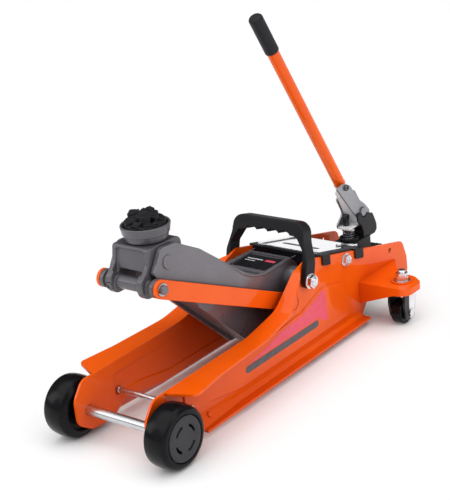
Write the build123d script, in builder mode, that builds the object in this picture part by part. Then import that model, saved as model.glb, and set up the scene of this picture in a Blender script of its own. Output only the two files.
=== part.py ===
from build123d import *
from math import sin, cos, tan, acos, radians, degrees, hypot, atan2
import os

os.makedirs("parts", exist_ok=True)

# ---- driving dimensions (mm); stations run rearward from the front axle ----
Y0 = -248.25         # shift that centres the length on the frame origin
PLATE_IN = 50.5      # inner face of a side plate
PLATE_T = 3.0        # side plate sheet
PLATE_OUT = PLATE_IN + PLATE_T
EMBOSS = 2.0         # raised panel on the web
WHEEL_R = 36.0
AXLE_R = 6.0
AXLE_Z = WHEEL_R
RUN = 0.05           # radial clearance of turning fits
PIV = (281.0, 103.0)     # lift arm rear pivot (station, height)
ARM_F = (68.0, 201.0)    # lift arm front pivot
LINK_F = (42.6, 180.6)   # link bar front pin
LINK_R = (PIV[0] + LINK_F[0] - ARM_F[0], PIV[1] + LINK_F[1] - ARM_F[1])
PUSH = (278.8, 53.0)     # push pin of the bell crank
RAM_Z = 56.0
SADDLE_Y = 74.5
SHAFT_R = 7.0
STUD_R = 5.2         # threaded ends of the arm shaft
PIN_R = 8.0
LINK_PIN_R = 5.0
CHEEK_IN = 27.0
CHEEK_OUT = 32.0
LINK_IN = 39.0
LINK_OUT = 43.0
SWIVEL = (101.0, 424.0)  # caster swivel axis (x, station)
TRAIL = -4.0
CASTER_R = 16.5
HINGE = (480.0, 119.4)    # handle socket pivot
LEAN = 30.9              # forward lean of the pump handle
TUBE_R = 7.5
PLUNGER_Y = 460.0


def side(x, y=0.0, z=0.0):
    return Plane(origin=(x, Y0 + y, z), x_dir=(0, 1, 0), z_dir=(1, 0, 0))


def level(z, x=0.0, y=0.0):
    return Plane(origin=(x, Y0 + y, z), x_dir=(1, 0, 0), z_dir=(0, 0, 1))


def cross(y, x=0.0, z=0.0):
    return Plane(origin=(x, Y0 + y, z), x_dir=(1, 0, 0), z_dir=(0, -1, 0))


def outline(pts):
    # closed outline through (u, v, corner radius) points
    n = len(pts)
    seg = []
    for i in range(n):
        p0 = Vector(*pts[i - 1][:2])
        p = Vector(*pts[i][:2])
        p1 = Vector(*pts[(i + 1) % n][:2])
        r = pts[i][2]
        if r > 0:
            a = (p0 - p).normalized()
            b = (p1 - p).normalized()
            ang = acos(max(-1, min(1, a.dot(b))))
            d = r / tan(ang / 2)
            bis = (a + b).normalized()
            c = p + bis * (r / sin(ang / 2))
            seg.append((p + a * d, c - bis * r, p + b * d))
        else:
            seg.append((p, None, p))
    for i in range(n):
        if (seg[i][0] - seg[i - 1][2]).length > 1e-4:
            Line(seg[i - 1][2], seg[i][0])
        if seg[i][1] is not None:
            ThreePointArc(*seg[i])


def band(path, t):
    # closed strip of thickness t to the right of an open path of (u, v, r)
    n = len(path)
    off = []
    nrm = []
    for i in range(n - 1):
        dx, dy = path[i + 1][0] - path[i][0], path[i + 1][1] - path[i][1]
        m = hypot(dx, dy)
        nrm.append((dy / m, -dx / m))
    for i in range(n):
        if i == 0:
            off.append((path[0][0] + t * nrm[0][0], path[0][1] + t * nrm[0][1], 0))
        elif i == n - 1:
            off.append((path[i][0] + t * nrm[-1][0], path[i][1] + t * nrm[-1][1], 0))
        else:
            a, b = nrm[i - 1], nrm[i]
            k = t / (1 + a[0] * b[0] + a[1] * b[1])
            turn = a[0] * b[1] - a[1] * b[0]
            r = path[i][2]
            off.append((path[i][0] + k * (a[0] + b[0]), path[i][1] + k * (a[1] + b[1]),
                        max(0.0, r + t if turn > 0 else r - t) if r > 0 else 0))
    return list(path) + off[::-1]


def save(builder, name):
    builder.part.label = name
    export_step(builder.part, f"parts/{name}.step")


def xaxis(y, z):
    return Axis((0, Y0 + y, z), (1, 0, 0))


# ---------------------------------------------------------------- side plates
TOP_PATH = [(16, 73.5, 0), (165, 75.5, 120), (222, 86.5, 45), (260, 118.5, 26), (272, 122.5, 0)]
WEB = [(16, 73.5, 7), (165, 75.5, 120), (222, 86.5, 45), (260, 118.5, 26), (285, 127, 16), (306, 122, 12),
       (506, 74.2, 12), (515.5, 50, 6), (516.5, 27, 5), (416, 27, 18), (398, 8, 6), (38, 8.5, 30), (2, 10.5, 14),
       (-18.5, 24, 14), (-18.5, 54, 18),
       (-3, 73.5, 14)]
PANEL = [(42, 30.5, 6), (42, 62, 6), (205, 62.5, 30), (268, 67, 20), (313, 81, 10), (356, 73, 12), (374, 36, 12), (368, 22, 8), (140, 22, 60), (85, 31, 30)]

FLARE = [(36, 11, 51.2), (60, 24.5, 62.5), (130, 14, 57), (397, 14, 57)]      # station, start height, foot of the flare

# rivet seat on the slope of the flare
RIVET_Y = 78.6
rk = (RIVET_Y - FLARE[1][0]) / (FLARE[2][0] - FLARE[1][0])
rz = FLARE[1][1] + rk * (FLARE[2][1] - FLARE[1][1])
rx = FLARE[1][2] + rk * (FLARE[2][2] - FLARE[1][2]) - PLATE_IN
rm = hypot(rx, rz - 8)
RN = ((rz - 8) / rm, rx / rm)
rivet_plane = Plane(origin=(PLATE_IN + 0.36 * rx + (PLATE_T + 0.1) * RN[0], Y0 + RIVET_Y, rz - 0.36 * (rz - 8) + (PLATE_T + 0.1) * RN[1]),
                    x_dir=(0, 1, 0), z_dir=(RN[0], 0, RN[1]))

with BuildPart() as side_plate_left:
    with BuildSketch(side(PLATE_IN)):
        with BuildLine():
            outline(WEB)
        make_face()
    extrude(amount=PLATE_T)
    # turned-out top flange, wide at the front and dying out on the sweep
    with BuildSketch(side(PLATE_IN)):
        with BuildLine():
            outline(band(TOP_PATH, 3.0))
        make_face()
    extrude(amount=40)
    with BuildSketch(level(60)):
        with BuildLine():
            outline([(PLATE_IN + 2.9, -30, 0), (PLATE_IN + 2.9, 16, 0), (58, 16.5, 0), (87, 29.5, 9), (80, 80, 60), (76.5, 150, 80),
                     (74.5, 222, 40), (62, 262, 20), (PLATE_IN + 2.9, 272, 0), (PLATE_IN + 2.9, 330, 0), (130, 330, 0), (130, -30, 0)])
        make_face()
    extrude(amount=90, mode=Mode.SUBTRACT)
    # bottom flange
    with BuildSketch(cross(396)):
        with BuildLine():
            outline([(PLATE_IN, 8, 0), (69, 8, 0), (69, 11, 0), (PLATE_OUT, 11, 0), (PLATE_OUT, 16, 0), (PLATE_IN, 16, 0)])
        make_face()
    extrude(amount=336)
    # flared run of sheet between web and flange, rising towards the front
    for sta in (FLARE[0:2], FLARE[1:3], FLARE[2:4]):
        with BuildPart(mode=Mode.PRIVATE) as sheet:
            for y, zf, xf in sta:
                m = hypot(xf - PLATE_IN, zf - 8)
                nx, nz = PLATE_T * (zf - 8) / m, PLATE_T * (xf - PLATE_IN) / m
                with BuildSketch(cross(y)):
                    with BuildLine():
                        Polyline((PLATE_IN, zf), (xf, 8), (xf + nx, 8 + nz), (PLATE_IN + nx, zf + nz), (PLATE_IN, zf))
                    make_face()
            loft(ruled=True)
        add(sheet.part)
        with BuildPart(mode=Mode.PRIVATE) as waste:
            for y, zf, xf in sta:
                with BuildSketch(cross(y)):
                    with BuildLine():
                        Polyline((PLATE_IN - 4, zf), (PLATE_IN, zf), (xf, 8), (xf, 4), (PLATE_IN - 4, 4), (PLATE_IN - 4, zf))
                    make_face()
            loft(ruled=True)
        add(waste.part, mode=Mode.SUBTRACT)
    # raised panel: sheet pushed outward by the emboss depth
    with BuildSketch(side(PLATE_OUT - 0.01)):
        with BuildLine():
            outline(PANEL)
        make_face()
    extrude(amount=EMBOSS + 0.01, taper=35)
    with BuildSketch(side(PLATE_IN)):
        with BuildLine():
            outline([(44, 32.3, 5), (44, 60, 5), (205, 60.5, 30), (268, 65, 20), (312.5, 78.6, 10), (354.5, 71, 12), (371.5, 36, 12), (366, 24, 7), (140, 24, 60), (85, 33, 30)])
        make_face()
    extrude(amount=EMBOSS, taper=35, mode=Mode.SUBTRACT)
    # pressed ring around the link pivot
    with BuildSketch(side(PLATE_OUT - 0.01, *LINK_R)):
        Circle(10.5)
        Circle(8.6, mode=Mode.SUBTRACT)
    extrude(amount=0.8)
    # bored seats
    for (y, z, r) in ((0, AXLE_Z, AXLE_R), (PIV[0], PIV[1], SHAFT_R), (50, 38.5, 3.0), (LINK_R[0], LINK_R[1], 4.0), (369, 97, 4.0), (474, 72, 3.5)):
        with BuildSketch(side(PLATE_IN - 1, y, z)):
            Circle(r)
        extrude(amount=8, mode=Mode.SUBTRACT)
    with BuildSketch(rivet_plane):
        Circle(2.0)
    extrude(amount=-9, mode=Mode.SUBTRACT)
    with BuildSketch(rivet_plane):
        Circle(3.6)
    extrude(amount=4, mode=Mode.SUBTRACT)
save(side_plate_left, "side_plate_left")

with BuildPart() as side_plate_right:
    mirror(side_plate_left.part, about=Plane.YZ)
save(side_plate_right, "side_plate_right")

# ------------------------------------------------------- front axle and wheels
with BuildPart() as front_axle:
    with BuildSketch(side(-84, 0, AXLE_Z)):
        Circle(AXLE_R)
    extrude(amount=168)
    for x in (84, -87):
        with BuildSketch(side(x, 0, AXLE_Z)):
            Circle(9)
        extrude(amount=3)
    chamfer(front_axle.edges().filter_by(GeomType.CIRCLE).sort_by(Axis.X)[-1], 0.8)
    chamfer(front_axle.edges().filter_by(GeomType.CIRCLE).sort_by(Axis.X)[0], 0.8)
save(front_axle, "front_axle")


with BuildPart() as front_wheel_left:
    with BuildSketch(level(AXLE_Z)):
        with BuildLine():
            Polyline((54, AXLE_R + RUN), (54, 15), (57.5, 15), (57.5, 27), (60, 31.5))
            ThreePointArc((60, 31.5), (61.1, 33.7), (63, 35.0))
            ThreePointArc((63, 35.0), (73.5, 36), (84, 35.0))
            ThreePointArc((84, 35.0), (87.9, 32.7), (89.3, 28.6))
            Polyline((89.3, 28.6), (89.3, 27.2), (86, 27.2), (86, 12), (83.7, 12), (83.7, AXLE_R + RUN), (54, AXLE_R + RUN))
        make_face()
    revolve(axis=xaxis(0, AXLE_Z))
    # lightening recess on the inner side
    with BuildSketch(level(AXLE_Z)):
        with BuildLine():
            Polyline((57, 17), (61.5, 18), (61.5, 24), (57, 25.5), (57, 17))
        make_face()
    revolve(axis=xaxis(0, AXLE_Z), mode=Mode.SUBTRACT)
save(front_wheel_left, "front_wheel_left")

with BuildPart() as front_wheel_right:
    mirror(front_wheel_left.part, about=Plane.YZ)
save(front_wheel_right, "front_wheel_right")

with BuildPart() as wheel_cap_left:
    with BuildSketch(level(AXLE_Z)):
        with BuildLine():
            Polyline((87.4, 0), (89.6, 0), (90, 22), (89.6, 25.4), (86, 25.4), (86, 20), (87.4, 20), (87.4, 0))
        make_face()
    revolve(axis=xaxis(0, AXLE_Z))
    with BuildSketch(side(86, 0, AXLE_Z)):
        for a in (10, 100, 190, 280):
            with BuildLine():
                CenterArc((0, 0), 16.7, a, 50)
                CenterArc((0, 0), 13.5, a, 50)
                for b in (a, a + 50):
                    Line((13.5 * cos(radians(b)), 13.5 * sin(radians(b))), (16.7 * cos(radians(b)), 16.7 * sin(radians(b))))
            make_face()
    extrude(amount=8, mode=Mode.SUBTRACT)
save(wheel_cap_left, "wheel_cap_left")

with BuildPart() as wheel_cap_right:
    mirror(wheel_cap_left.part, about=Plane.YZ)
save(wheel_cap_right, "wheel_cap_right")

# ------------------------------------------------------------ frame tie pieces
with BuildPart() as tie_rod:
    with BuildSketch(side(-57.7, 50, 38.5)):
        Circle(3.0)
    extrude(amount=115.4)
    for x in (-PLATE_IN - EMBOSS, PLATE_IN + EMBOSS - 4):
        with BuildSketch(side(x, 50, 38.5)):
            RegularPolygon(4.3, 6)
        extrude(amount=4)
    for x in (-PLATE_OUT - EMBOSS - 2.2, PLATE_OUT + EMBOSS):
        with BuildSketch(side(x, 50, 38.5)):
            RegularPolygon(5.2, 6)
        extrude(amount=2.2)
save(tie_rod, "tie_rod")

with BuildPart() as frame_rivet_left:
    with BuildSketch(rivet_plane):
        Circle(3.4)
    extrude(amount=2.0)
    fillet(frame_rivet_left.edges().filter_by(GeomType.CIRCLE).sort_by(Axis.Z)[-1], 1.4)
    with BuildSketch(rivet_plane):
        Circle(2.0)
    extrude(amount=-3.6)
save(frame_rivet_left, "frame_rivet_left")

with BuildPart() as frame_rivet_right:
    mirror(frame_rivet_left.part, about=Plane.YZ)
save(frame_rivet_right, "frame_rivet_right")

# ------------------------------------------------------------ arm pivot shaft
with BuildPart() as arm_pivot_shaft:
    with BuildSketch(side(-61.0, *PIV)):
        Circle(SHAFT_R)
    extrude(amount=122.0)
    with BuildSketch(side(-69.4, *PIV)):
        Circle(STUD_R)
    extrude(amount=138.8)
    chamfer(arm_pivot_shaft.edges().filter_by(GeomType.CIRCLE).sort_by(Axis.X)[-1], 0.8)
    chamfer(arm_pivot_shaft.edges().filter_by(GeomType.CIRCLE).sort_by(Axis.X)[0], 0.8)
save(arm_pivot_shaft, "arm_pivot_shaft")

with BuildPart() as pivot_nut_left:
    with BuildSketch(side(61.0, *PIV)):
        Circle(9.6)
        Circle(STUD_R, mode=Mode.SUBTRACT)
    extrude(amount=1.5)
    with BuildSketch(side(62.5, *PIV)):
        RegularPolygon(8.8, 6, rotation=12)
        Circle(STUD_R, mode=Mode.SUBTRACT)
    extrude(amount=5.2)
    with BuildSketch(side(67.7, *PIV)):
        Circle(7.0)
        Circle(STUD_R, mode=Mode.SUBTRACT)
    extrude(amount=0.6)
save(pivot_nut_left, "pivot_nut_left")

with BuildPart() as pivot_nut_right:
    mirror(pivot_nut_left.part, about=Plane.YZ)
save(pivot_nut_right, "pivot_nut_right")

# ------------------------------------------------------------ link pivot studs
with BuildPart() as link_stud_left:
    with BuildSketch(side(37.2, *LINK_R)):
        Circle(8.0)
    extrude(amount=1.5)
    with BuildSketch(side(38.7, *LINK_R)):
        Circle(LINK_PIN_R)
    extrude(amount=4.6)
    with BuildSketch(side(43.3, *LINK_R)):
        Circle(9.0)
    extrude(amount=PLATE_IN - 43.3)
    with BuildSketch(side(PLATE_IN, *LINK_R)):
        Circle(4.0)
    extrude(amount=PLATE_T)
save(link_stud_left, "link_stud_left")

with BuildPart() as link_stud_right:
    mirror(link_stud_left.part, about=Plane.YZ)
save(link_stud_right, "link_stud_right")

# ------------------------------------------------------------------ lift arm
CRANK_IN = 18.0
CRANK_OUT = 22.5
CHEEK = [(60, 219.3, 9), (84, 217.5, 12), (122, 197, 40), (212, 126.2, 85), (297, 126.2, 20), (300, 82, 18), (236, 82, 30), (120, 133, 40), (57, 180, 8), (44.5, 194.8, 3)]
CRANK = [(126, 178, 0), (213, 119.8, 0), (286, 119.8, 0), (300, 80, 18), (292, 38, 12), (217, 34.5, 9), (112, 134, 26)]
with BuildPart() as lift_arm:
    for x in (CHEEK_IN, -CHEEK_OUT):
        with BuildSketch(side(x)):
            with BuildLine():
                outline(CHEEK)
            make_face()
        extrude(amount=CHEEK_OUT - CHEEK_IN)
    # top web, bent where the sloping part meets the level tray
    with BuildSketch(side(-CHEEK_IN)):
        with BuildLine():
            outline(band([(132, 181.5, 0), (205, 124, 85), (291, 124, 0)], 4.5))
        make_face()
    extrude(amount=2 * CHEEK_IN)
    # bell crank plates under the web
    for x in (CRANK_IN, -CRANK_OUT):
        with BuildSketch(side(x)):
            with BuildLine():
                outline(CRANK)
            make_face()
        extrude(amount=CRANK_OUT - CRANK_IN)
    # lower web of the bell crank
    with BuildSketch(side(-CRANK_IN)):
        with BuildLine():
            outline(band([(219, 38.5, 0), (128, 124.6, 0)], 4.0))
        make_face()
    extrude(amount=2 * CRANK_IN)
    # rim of the label tray
    with BuildSketch(level(121)):
        with BuildLine():
            outline([(-CHEEK_OUT, 231, 12), (CHEEK_OUT, 231, 12), (CHEEK_OUT, 288, 6), (-CHEEK_OUT, 288, 6)])
        make_face()
        with BuildLine():
            outline([(-27.5, 235.5, 8), (27.5, 235.5, 8), (27.5, 283.5, 5), (-27.5, 283.5, 5)])
        make_face(mode=Mode.SUBTRACT)
    extrude(amount=5.2)
    with BuildSketch(side(-40, *ARM_F)):
        Circle(PIN_R)
    extrude(amount=80, mode=Mode.SUBTRACT)
    with BuildSketch(side(-40, *PIV)):
        Circle(15)
    extrude(amount=80, mode=Mode.SUBTRACT)
    with BuildSketch(side(-40, *PUSH)):
        Circle(9)
    extrude(amount=80, mode=Mode.SUBTRACT)
save(lift_arm, "lift_arm")

with BuildPart() as arm_pivot_tube:
    with BuildSketch(side(-49.5, *PIV)):
        Circle(15)
        Circle(SHAFT_R + RUN, mode=Mode.SUBTRACT)
    extrude(amount=99)
    chamfer(arm_pivot_tube.edges().filter_by(GeomType.CIRCLE).filter_by(lambda e: e.radius > 10), 1.0)
save(arm_pivot_tube, "arm_pivot_tube")

with BuildPart() as push_pin:
    with BuildSketch(side(-CRANK_OUT - 1.5, *PUSH)):
        Circle(9)
    extrude(amount=2 * CRANK_OUT + 3)
save(push_pin, "push_pin")

with BuildPart() as arm_label:
    with BuildSketch(level(124)):
        with BuildLine():
            outline([(-25.5, 243.5, 2), (25.5, 243.5, 2), (25.5, 280.5, 2), (-25.5, 280.5, 2)])
        make_face()
    extrude(amount=0.8)
save(arm_label, "arm_label")

with BuildPart() as carrier_pin:
    with BuildSketch(side(-33.4, *ARM_F)):
        Circle(PIN_R)
    extrude(amount=66.8)
    chamfer(carrier_pin.edges().filter_by(GeomType.CIRCLE), 0.7)
save(carrier_pin, "carrier_pin")

# ------------------------------------------------------------- saddle carrier
with BuildPart() as saddle_carrier:
    for x in (18, -26):
        with BuildSketch(side(x)):
            with BuildLine():
                outline([(46.5, 221, 4), (99, 221, 9), (101, 200, 12), (78, 186, 14), (57, 167.5, 12.5), (31, 167.5, 12), (29.5, 188, 10), (43.5, 203, 14)])
            make_face()
        extrude(amount=8)
    with BuildSketch(side(-26)):
        with BuildLine():
            outline([(46.5, 221, 3), (99, 221, 9), (100, 213, 0), (47, 213, 0)])
        make_face()
    extrude(amount=52)
    # front plate with a wide sunk window
    with BuildSketch(side(-18)):
        with BuildLine():
            outline([(46.9, 214, 0), (42.6, 195.5, 0), (49.5, 194, 2), (57, 214, 0)])
        make_face()
    extrude(amount=36)
    with BuildSketch(side(-20.5)):
        with BuildLine():
            outline([(36, 217.2, 0), (36, 191, 0), (43.6, 191, 0), (49, 217.2, 0.8)])
        make_face()
    extrude(amount=41, mode=Mode.SUBTRACT)
    # tube between the legs and outward bosses for the link pin
    with BuildSketch(side(-18.5, *LINK_F)):
        Circle(8)
    extrude(amount=37)
    for x0, r, t in ((25.5, 7.5, 8.0), (33.0, 10.5, 5.7)):
        for x in (x0, -x0 - t):
            with BuildSketch(side(x, *LINK_F)):
                Circle(r)
            extrude(amount=t)
    # boss under the saddle stem
    with BuildSketch(level(210, 0, SADDLE_Y)):
        Circle(16)
    extrude(amount=3.5)
    with BuildSketch(level(205, 0, SADDLE_Y)):
        Circle(10 + RUN)
    extrude(amount=20, mode=Mode.SUBTRACT)
    with BuildSketch(side(-30, *ARM_F)):
        Circle(PIN_R + RUN)
    extrude(amount=60, mode=Mode.SUBTRACT)
    with BuildSketch(side(-40, *LINK_F)):
        Circle(LINK_PIN_R)
    extrude(amount=80, mode=Mode.SUBTRACT)
    # spot face for the pin locking screw
    with BuildSketch(cross(32.2, -22, 178)):
        Circle(4.6)
    extrude(amount=8, mode=Mode.SUBTRACT)
save(saddle_carrier, "saddle_carrier")

with BuildPart() as link_pin:
    with BuildSketch(side(-48.5, *LINK_F)):
        Circle(LINK_PIN_R)
    extrude(amount=97)
    chamfer(link_pin.edges().filter_by(GeomType.CIRCLE).sort_by(Axis.X)[-1], 0.8)
    chamfer(link_pin.edges().filter_by(GeomType.CIRCLE).sort_by(Axis.X)[0], 0.8)
save(link_pin, "link_pin")

with BuildPart() as link_clip_left:
    with BuildSketch(side(43.3, *LINK_F)):
        Circle(7.2)
        Circle(LINK_PIN_R, mode=Mode.SUBTRACT)
        with Locations((-6, 0)):
            Rectangle(6, 3.4, mode=Mode.SUBTRACT)
    extrude(amount=1.2)
save(link_clip_left, "link_clip_left")

with BuildPart() as link_clip_right:
    mirror(link_clip_left.part, about=Plane.YZ)
save(link_clip_right, "link_clip_right")

with BuildPart() as carrier_screw:
    with BuildSketch(cross(32.2, -22, 178)):
        Circle(4.2)
    extrude(amount=3.2)
    chamfer(carrier_screw.edges().filter_by(GeomType.CIRCLE).sort_by(Axis.Y)[0], 1.0)
    with BuildSketch(cross(30, -22, 178)):
        RegularPolygon(2.2, 6)
    extrude(amount=2, mode=Mode.SUBTRACT)
save(carrier_screw, "carrier_screw")

# ------------------------------------------------------------ saddle and pad
with BuildPart() as saddle:
    with BuildSketch(Plane(origin=(0, Y0 + SADDLE_Y, 0), x_dir=(1, 0, 0), z_dir=(0, -1, 0))):
        with BuildLine():
            Polyline((0, 211.5), (9, 211.5), (10, 212.5), (10, 221.3), (22.2, 221.3))
            ThreePointArc((22.2, 221.3), (23.7, 222), (24.3, 223.4))
            Polyline((24.3, 223.4), (25.2, 228.4), (26.3, 229.2), (27.8, 237.2))
            ThreePointArc((27.8, 237.2), (26.5, 239), (24.8, 237.6))
            Polyline((24.8, 237.6), (21.8, 225.3), (0, 225.3), (0, 211.5))
        make_face()
    revolve(axis=Axis((0, Y0 + SADDLE_Y, 0), (0, 0, 1)))
save(saddle, "saddle")

with BuildPart() as saddle_pad:
    with BuildSketch(Plane(origin=(0, Y0 + SADDLE_Y, 0), x_dir=(1, 0, 0), z_dir=(0, -1, 0))):
        with BuildLine():
            Polyline((0, 225.3), (21.0, 225.3), (24.0, 236.6))
            ThreePointArc((24.0, 236.6), (25.0, 240), (23.4, 243.5))
            Polyline((23.4, 243.5), (0, 244.2), (0, 225.3))
        make_face()
    revolve(axis=Axis((0, Y0 + SADDLE_Y, 0), (0, 0, 1)))
    with BuildSketch(level(242, 0, SADDLE_Y)):
        Circle(20.5)
        Rectangle(60, 6, mode=Mode.SUBTRACT)
        Rectangle(6, 60, mode=Mode.SUBTRACT)
    extrude(amount=10, taper=10)
    with BuildSketch(level(239, 0, SADDLE_Y)):
        Circle(40)
        Circle(22.3, mode=Mode.SUBTRACT)
        for a in range(8):
            with Locations((26 * cos(radians(45 * a + 20)), 26 * sin(radians(45 * a + 20)))):
                Rectangle(11, 11, rotation=45 * a + 20, mode=Mode.SUBTRACT)
    extrude(amount=20, mode=Mode.SUBTRACT)
save(saddle_pad, "saddle_pad")

# ------------------------------------------------------------------ link bars
LB = 10.5
la = atan2(LINK_R[1] - LINK_F[1], LINK_R[0] - LINK_F[0])
LLEN = hypot(LINK_R[0] - LINK_F[0], LINK_R[1] - LINK_F[1])
with BuildPart() as link_bar_left:
    with BuildSketch(Plane(origin=(LINK_IN, Y0 + (LINK_F[0] + LINK_R[0]) / 2, (LINK_F[1] + LINK_R[1]) / 2),
                           x_dir=(0, cos(la), sin(la)), z_dir=(1, 0, 0))):
        SlotCenterToCenter(LLEN, 2 * LB)
    extrude(amount=LINK_OUT - LINK_IN)
    fillet(link_bar_left.edges().filter_by(lambda e: abs(e.bounding_box().size.X) < 0.01), 0.8)
    for c in (LINK_F, LINK_R):
        with BuildSketch(side(LINK_IN - 1, *c)):
            Circle(LINK_PIN_R + RUN)
        extrude(amount=8, mode=Mode.SUBTRACT)
save(link_bar_left, "link_bar_left")

with BuildPart() as link_bar_right:
    mirror(link_bar_left.part, about=Plane.YZ)
save(link_bar_right, "link_bar_right")

# ------------------------------------------------------------- hydraulic unit
with BuildPart() as pump_block:
    with BuildSketch(side(-PLATE_IN)):
        with BuildLine():
            outline([(345, 34, 6), (430, 34, 6), (432, 86, 5), (345, 106.5, 5)])
        make_face()
    extrude(amount=2 * PLATE_IN)
    with BuildSketch(side(-15)):
        with BuildLine():
            outline([(428, 36, 0), (489, 36, 8), (489, 84, 1.5), (428, 84, 0)])
        make_face()
    extrude(amount=30)
    with BuildSketch(side(-22)):
        with BuildLine():
            outline([(480, 38, 0), (527, 38, 5), (527, 57, 3), (480, 57, 0)])
        make_face()
    extrude(amount=44)
    # bores for cylinder, plunger and release valve
    with BuildSketch(cross(345, 0, RAM_Z)):
        Circle(19)
    extrude(amount=-100, mode=Mode.SUBTRACT)
    with BuildSketch(level(62, 0, PLUNGER_Y)):
        Circle(5 + RUN)
    extrude(amount=26, mode=Mode.SUBTRACT)
    with BuildSketch(cross(515, 0, 47.5)):
        Circle(5 + RUN)
    extrude(amount=-20, mode=Mode.SUBTRACT)
    for x in (-PLATE_IN, PLATE_IN - 14):
        with BuildSketch(side(x, 369, 97)):
            Circle(4.0)
        extrude(amount=14, mode=Mode.SUBTRACT)
save(pump_block, "pump_block")

with BuildPart() as cylinder_tube:
    with BuildSketch(cross(326, 0, RAM_Z)):
        Circle(19)
        Circle(11 + RUN, mode=Mode.SUBTRACT)
    extrude(amount=-118)
    with BuildSketch(cross(444, 0, RAM_Z)):
        Circle(19)
    extrude(amount=-1)
    chamfer(cylinder_tube.edges().filter_by(GeomType.CIRCLE).sort_by(Axis.Y)[0:1], 1.2)
    with BuildSketch(cross(333, 0, RAM_Z)):
        RegularPolygon(25, 8, rotation=22.5)
        Circle(18, mode=Mode.SUBTRACT)
    extrude(amount=-12)
save(cylinder_tube, "cylinder_tube")

RAM_FACE = PUSH[0] + 9 + 0.9
with BuildPart() as ram:
    with BuildSketch(cross(RAM_FACE + 8, 0, RAM_Z)):
        Circle(11)
    extrude(amount=-110)
    with BuildSketch(side(-13)):
        with BuildLine():
            outline([(RAM_FACE, 43, 0), (RAM_FACE + 8, 43, 2), (RAM_FACE + 8, 70, 2), (RAM_FACE, 70, 0)])
        make_face()
    extrude(amount=26)
save(ram, "ram")

with BuildPart() as block_bolt_left:
    with BuildSketch(side(PLATE_OUT, 369, 97)):
        Circle(8.5)
    extrude(amount=1.4)
    with BuildSketch(side(PLATE_OUT + 1.4, 369, 97)):
        RegularPolygon(7.2, 6, rotation=10)
    extrude(amount=4.0)
    with BuildSketch(side(PLATE_OUT + 4.4, 369, 97)):
        Circle(3.6)
    extrude(amount=1.2, mode=Mode.SUBTRACT)
    with BuildSketch(side(PLATE_OUT, 369, 97)):
        Circle(4.0)
    extrude(amount=-(PLATE_T + 13))
save(block_bolt_left, "block_bolt_left")

with BuildPart() as block_bolt_right:
    mirror(block_bolt_left.part, about=Plane.YZ)
save(block_bolt_right, "block_bolt_right")

# ----------------------------------------------------------------- top cover
SL = -0.239


def edge(y):
    return 122 + SL * (y - 306)


with BuildPart() as cover_frame:
    with BuildSketch(side(-PLATE_IN)):
        with BuildLine():
            outline([(317, edge(317) - 14, 0), (317, edge(317) + 2.2, 2), (416, edge(416) + 2.2, 2), (416, edge(416) - 4, 0),
                     (413, edge(413) - 4, 0), (413, edge(413) - 1.8, 0), (320, edge(320) - 1.8, 0), (320, edge(320) - 14, 0)])
        make_face()
    extrude(amount=2 * PLATE_IN)
    # clips hooked over the plate edges
    for y0, y1 in ((318, 334), (390, 408)):
        for x in (PLATE_IN, -PLATE_OUT - 2.4):
            with BuildSketch(side(x)):
                with BuildLine():
                    outline([(y0, edge(y0), 0), (y0, edge(y0) + 2.2, 0), (y1, edge(y1) + 2.2, 0), (y1, edge(y1), 0)])
                make_face()
            extrude(amount=PLATE_OUT + 2.4 - PLATE_IN)
        for x in (PLATE_OUT, -PLATE_OUT - 2.4):
            with BuildSketch(side(x)):
                with BuildLine():
                    outline([(y0, edge(y0) - 11, 1.5), (y0, edge(y0) + 2.2, 0), (y1, edge(y1) + 2.2, 0), (y1, edge(y1) - 11, 1.5)])
                make_face()
            extrude(amount=2.4)
save(cover_frame, "cover_frame")

with BuildPart() as cover_plate:
    with BuildSketch(side(-45)):
        with BuildLine():
            outline([(322, edge(322) + 2.2, 0), (322, edge(322) + 3.4, 0.6), (411, edge(411) + 3.4, 0.6), (411, edge(411) + 2.2, 0)])
        make_face()
    extrude(amount=90)
    # two rolled side beads and a stamped slot
    for x in (-45, 39):
        with BuildSketch(side(x)):
            with BuildLine():
                outline([(322, edge(322) + 3.2, 0), (322, edge(322) + 5.6, 1.2), (411, edge(411) + 5.6, 1.2), (411, edge(411) + 3.2, 0)])
            make_face()
        extrude(amount=6)
    with BuildSketch(level(90, 4, 350)):
        SlotOverall(44, 7)
    extrude(amount=40, mode=Mode.SUBTRACT)
save(cover_plate, "cover_plate")

# ----------------------------------------------------------- carrying handle
TILT = 14.0
hp = Plane(origin=(0, Y0 + PIV[0], PIV[1]), x_dir=(1, 0, 0), z_dir=(0, -cos(radians(TILT)), sin(radians(TILT))))
GRIPS = 4
with BuildPart() as carry_handle:
    with BuildSketch(hp):
        with BuildLine():
            outline([(53.9, -9.5, 0), (61.0, -9.5, 0), (61.0, 24, 14), (54, 46, 16), (51.5, 69.5, 15), (-51.5, 69.5, 15), (-54, 46, 16),
                     (-61.0, 24, 14), (-61.0, -9.5, 0), (-53.9, -9.5, 0), (-53.9, 34, 6), (-42.5, 52, 8), (42.5, 52, 8), (53.9, 34, 6)])
        make_face()
        for k in range(GRIPS):
            with Locations((-24.6 + 16.4 * k, 51.6)):
                Ellipse(8.1, 4.6, mode=Mode.SUBTRACT)
    extrude(amount=9.5, both=True)
    # rounded feet around the bolts
    for s in (-1, 1):
        with BuildSketch(Plane(origin=(s * 50, Y0 + PIV[0], PIV[1]), x_dir=(0, 1, 0), z_dir=(1, 0, 0))):
            Rectangle(60, 40)
            with Locations((0, 30)):
                Rectangle(80, 60, mode=Mode.SUBTRACT)
            Circle(9.5, mode=Mode.SUBTRACT)
        extrude(amount=s * 20, mode=Mode.SUBTRACT)
    with BuildSketch(side(-70, *PIV)):
        Circle(SHAFT_R)
    extrude(amount=140, mode=Mode.SUBTRACT)
save(carry_handle, "carry_handle")

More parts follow.
